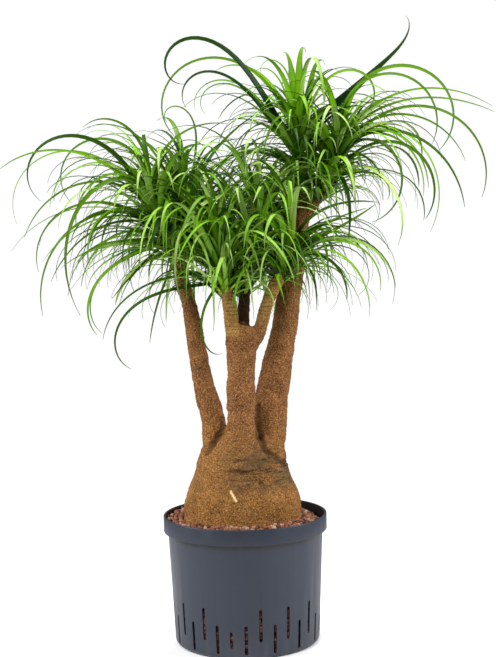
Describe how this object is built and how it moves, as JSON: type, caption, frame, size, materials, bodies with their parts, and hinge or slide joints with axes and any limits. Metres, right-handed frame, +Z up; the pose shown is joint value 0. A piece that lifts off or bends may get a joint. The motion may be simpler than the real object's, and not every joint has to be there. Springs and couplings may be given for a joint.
{
  "type": "potted ponytail palm",
  "caption": "House plant with a swollen base, forked trunks and arching strap leaves, standing in clay granules in a slotted culture pot.",
  "frame": {"origin": "middle of the pot's flat underside", "axes": "+Z up along the pot's axis; the plant's front, as in the picture, looks along -Y, and +X is to the right in that view"},
  "size_m": [1.1561, 0.8472, 1.4639],
  "materials": {
    "pot_plastic": "smooth matte slate blue-grey moulded plastic",
    "expanded_clay": "rough fired clay granules, orange to red-brown",
    "bark": "rough corky bark, finely cracked",
    "leaf": "smooth leathery leaf with a soft sheen"
  },
  "bodies": {
    "root": {"pot": "pot_plastic", "clay_granules": "expanded_clay", "trunk": "bark", "leaf_head_left_outer": "leaf", "leaf_head_left_inner": "leaf", "leaf_head_middle_left": "leaf", "leaf_head_middle_back": "leaf", "leaf_head_middle_right": "leaf", "leaf_head_right_upper": "leaf", "leaf_head_right_outer": "leaf"}
  },
  "joints": []
}
